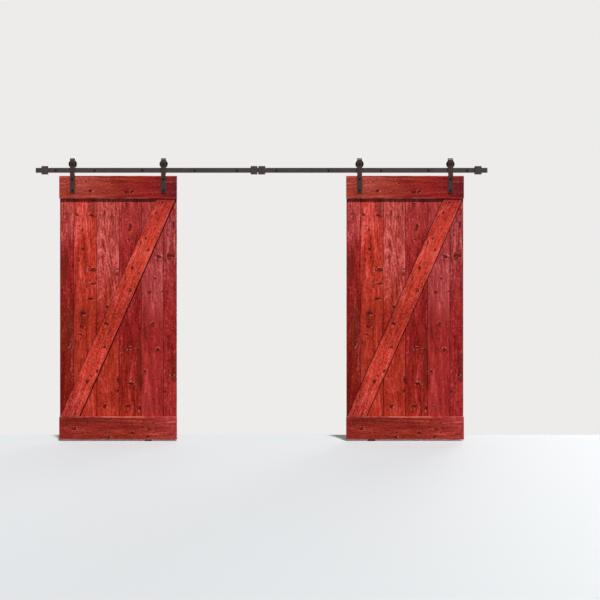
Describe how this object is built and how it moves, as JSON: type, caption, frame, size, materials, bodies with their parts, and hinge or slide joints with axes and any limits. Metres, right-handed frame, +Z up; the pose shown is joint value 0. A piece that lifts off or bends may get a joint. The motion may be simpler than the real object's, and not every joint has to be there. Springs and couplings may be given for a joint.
{
  "type": "sliding barn door",
  "caption": "Bi-parting plank barn door, red-stained Z-braced leaves on strap hangers rolling along one flat steel track",
  "frame": {"origin": "on the wall's face at the finished floor, below the joint of the two rails", "axes": "+X along the track to the right as seen from the room, +Y into the wall, +Z up; the room is at -Y"},
  "size_m": [3.658, 0.1171, 2.3116],
  "materials": {
    "stained_plank": "red stain, satin",
    "stained_board": "red stain, satin",
    "stained_brace": "red stain, satin",
    "bronze_steel": "dark bronze powder coat",
    "bronze_wheel": "dark bronze powder coat",
    "bronze_fastener": "dark bronze coated steel",
    "bearing_steel": "ground steel",
    "zinc_screw": "zinc-plated steel",
    "black_nylon": "turned black nylon"
  },
  "bodies": {
    "track": {"rail_left": "bronze_steel", "rail_right": "bronze_steel", "rail_joint_pins": "zinc_screw", "rail_spacers": "bronze_steel", "wall_screws": "bronze_fastener", "end_stops": "bronze_steel", "centre_stops": "bronze_steel", "stop_back_plates": "bronze_steel", "stop_screws": "bronze_fastener", "floor_guide_left": "bronze_steel", "floor_guide_right": "bronze_steel", "floor_guide_screws": "zinc_screw"},
    "left_leaf": {"left_plank_1": "stained_plank", "left_plank_2": "stained_plank", "left_plank_3": "stained_plank", "left_plank_4": "stained_plank", "left_plank_5": "stained_plank", "left_plank_6": "stained_plank", "left_top_board": "stained_board", "left_bottom_board": "stained_board", "left_brace": "stained_brace", "left_outer_hanger": "bronze_steel", "left_inner_hanger": "bronze_steel", "left_strap_bolts": "bronze_fastener", "left_strap_nuts": "bronze_fastener", "left_axle_bolts": "bronze_fastener", "left_axle_nuts": "bronze_fastener", "left_axle_sleeves": "bearing_steel", "left_bearing_inner_rings": "bearing_steel", "left_anti_jump_blocks": "black_nylon", "left_anti_jump_screws": "zinc_screw"},
    "left_outer_roller": {"left_outer_wheel": "bronze_wheel", "left_outer_bearing_ring": "bearing_steel"},
    "left_inner_roller": {"left_inner_wheel": "bronze_wheel", "left_inner_bearing_ring": "bearing_steel"},
    "right_leaf": {"right_plank_1": "stained_plank", "right_plank_2": "stained_plank", "right_plank_3": "stained_plank", "right_plank_4": "stained_plank", "right_plank_5": "stained_plank", "right_plank_6": "stained_plank", "right_top_board": "stained_board", "right_bottom_board": "stained_board", "right_brace": "stained_brace", "right_outer_hanger": "bronze_steel", "right_inner_hanger": "bronze_steel", "right_strap_bolts": "bronze_fastener", "right_strap_nuts": "bronze_fastener", "right_axle_bolts": "bronze_fastener", "right_axle_nuts": "bronze_fastener", "right_axle_sleeves": "bearing_steel", "right_bearing_inner_rings": "bearing_steel", "right_anti_jump_blocks": "black_nylon", "right_anti_jump_screws": "zinc_screw"},
    "right_outer_roller": {"right_outer_wheel": "bronze_wheel", "right_outer_bearing_ring": "bearing_steel"},
    "right_inner_roller": {"right_inner_wheel": "bronze_wheel", "right_inner_bearing_ring": "bearing_steel"}
  },
  "joints": [
    {"name": "left_leaf_slide", "type": "slide", "parent": "track", "child": "left_leaf", "axis": [1, 0, 0], "range_m": [-0.1669, 0.655]},
    {"name": "left_outer_roller_turn", "type": "hinge", "parent": "left_leaf", "child": "left_outer_roller", "pos_m": [-1.529, -0.035, 2.2413], "axis": [0, 1, 0], "continuous": true},
    {"name": "left_inner_roller_turn", "type": "hinge", "parent": "left_leaf", "child": "left_inner_roller", "pos_m": [-0.793, -0.035, 2.2413], "axis": [0, 1, 0], "continuous": true},
    {"name": "right_leaf_slide", "type": "slide", "parent": "track", "child": "right_leaf", "axis": [1, 0, 0], "range_m": [-0.713, 0.1669]},
    {"name": "right_outer_roller_turn", "type": "hinge", "parent": "right_leaf", "child": "right_outer_roller", "pos_m": [1.529, -0.035, 2.2413], "axis": [0, 1, 0], "continuous": true},
    {"name": "right_inner_roller_turn", "type": "hinge", "parent": "right_leaf", "child": "right_inner_roller", "pos_m": [0.793, -0.035, 2.2413], "axis": [0, 1, 0], "continuous": true}
  ],
  "couplings": [
    {"joint": "left_outer_roller_turn", "follows": "left_leaf_slide", "rad_per_m": 33.898},
    {"joint": "left_inner_roller_turn", "follows": "left_leaf_slide", "rad_per_m": 33.898},
    {"joint": "right_outer_roller_turn", "follows": "right_leaf_slide", "rad_per_m": 33.898},
    {"joint": "right_inner_roller_turn", "follows": "right_leaf_slide", "rad_per_m": 33.898}
  ]
}
